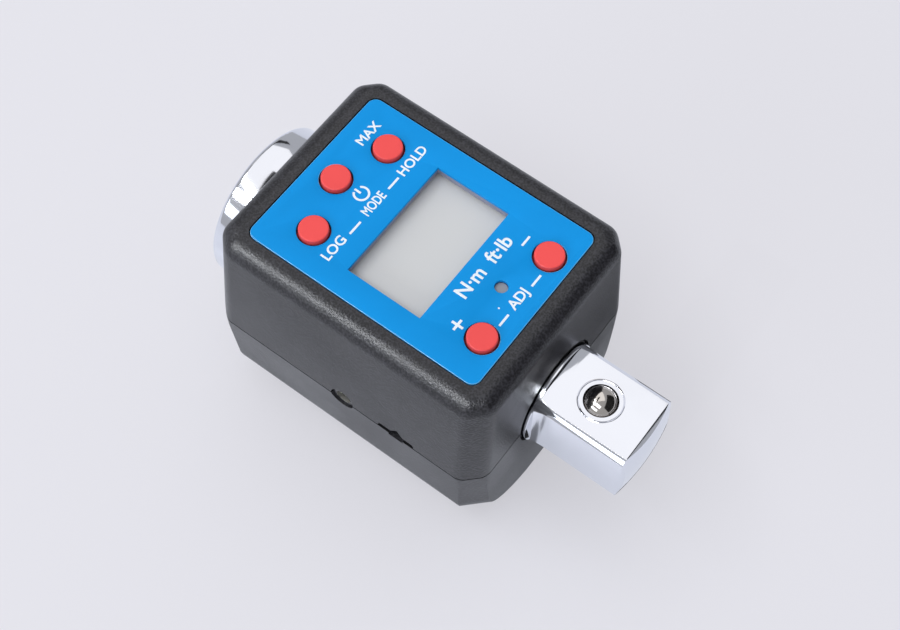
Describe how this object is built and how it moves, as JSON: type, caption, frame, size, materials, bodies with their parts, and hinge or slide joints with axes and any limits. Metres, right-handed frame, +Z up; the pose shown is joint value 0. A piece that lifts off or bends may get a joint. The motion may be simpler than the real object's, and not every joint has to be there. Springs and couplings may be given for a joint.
{
  "type": "digital torque adapter",
  "caption": "Box housing with a display and round keys on a through shaft: female square boss at one end, male square with a detent ball at the other.",
  "frame": {"origin": "middle of the housing's underside, where it rests on a table; the shaft axis is 20.8 mm above it", "axes": "+X along the shaft towards the male square, +Y across the display away from the data jack, +Z up out of the display"},
  "size_m": [0.0726, 0.0404, 0.0419],
  "materials": {
    "housing": "fine grained",
    "chrome": "polished",
    "steel": "ground",
    "ball": "polished",
    "spring": "drawn",
    "seal": "matt",
    "panel": "satin",
    "key": "satin",
    "window": "clear",
    "display": "matt grey",
    "dark_frame": "matt",
    "strip_rubber": "matt",
    "board": "solder mask over glass fibre",
    "chip": "moulded",
    "buzzer": "moulded",
    "lens": "frosted",
    "lamp": "moulded",
    "jack": "moulded",
    "foil": "etched foil",
    "ribbon": "film",
    "cell": "bright nickel",
    "tray": "moulded",
    "contact": "nickel plated",
    "wire": "insulated",
    "screw": "zinc plated",
    "switch": "moulded",
    "plunger": "moulded"
  },
  "bodies": {
    "housing": {"upper_shell": "housing", "lower_shell": "housing", "drive_shaft": "chrome", "front_seal": "seal", "rear_seal": "seal", "shaft_pin": "steel", "detent_spring": "spring", "face_panel": "panel", "display_window": "window", "lcd_glass": "display", "lcd_frame": "dark_frame", "lcd_connectors": "strip_rubber", "main_board": "board", "riser_board": "board", "controller_chip": "chip", "amplifier_chip": "chip", "buzzer": "buzzer", "led_lens": "lens", "led_lamp": "lamp", "data_jack": "jack", "strain_gauges": "foil", "gauge_ribbon": "ribbon", "coin_cell": "cell", "cell_tray": "tray", "cell_contact_minus": "contact", "cell_contact_plus": "contact", "cell_wires": "wire", "case_screws": "screw", "board_screws": "screw", "switch_memory": "switch", "switch_power": "switch", "switch_peak": "switch", "switch_plus": "switch", "switch_minus": "switch"},
    "door": {"battery_door": "housing", "door_screws": "screw"},
    "ball": {"detent_ball": "ball"},
    "key_memory_body": {"key_memory": "key", "plunger_memory": "plunger"},
    "key_power_body": {"key_power": "key", "plunger_power": "plunger"},
    "key_peak_body": {"key_peak": "key", "plunger_peak": "plunger"},
    "key_plus_body": {"key_plus": "key", "plunger_plus": "plunger"},
    "key_minus_body": {"key_minus": "key", "plunger_minus": "plunger"}
  },
  "joints": [
    {"name": "press_memory", "type": "slide", "parent": "housing", "child": "key_memory_body", "axis": [0, 0, -1], "range_m": [0, 0.0005], "stiffness_N_per_m": 800, "springref_m": -0.0004},
    {"name": "press_power", "type": "slide", "parent": "housing", "child": "key_power_body", "axis": [0, 0, -1], "range_m": [0, 0.0005], "stiffness_N_per_m": 800, "springref_m": -0.0004},
    {"name": "press_peak", "type": "slide", "parent": "housing", "child": "key_peak_body", "axis": [0, 0, -1], "range_m": [0, 0.0005], "stiffness_N_per_m": 800, "springref_m": -0.0004},
    {"name": "press_plus", "type": "slide", "parent": "housing", "child": "key_plus_body", "axis": [0, 0, -1], "range_m": [0, 0.0005], "stiffness_N_per_m": 800, "springref_m": -0.0004},
    {"name": "press_minus", "type": "slide", "parent": "housing", "child": "key_minus_body", "axis": [0, 0, -1], "range_m": [0, 0.0005], "stiffness_N_per_m": 800, "springref_m": -0.0004},
    {"name": "ball_in", "type": "slide", "parent": "housing", "child": "ball", "axis": [0, 0, -1], "range_m": [0, 0.00155], "stiffness_N_per_m": 1500, "springref_m": -0.0006, "deforming": ["detent_spring"]},
    {"name": "door_off", "type": "slide", "parent": "housing", "child": "door", "axis": [0, 0, -1], "range_m": [0, 0.02]}
  ]
}
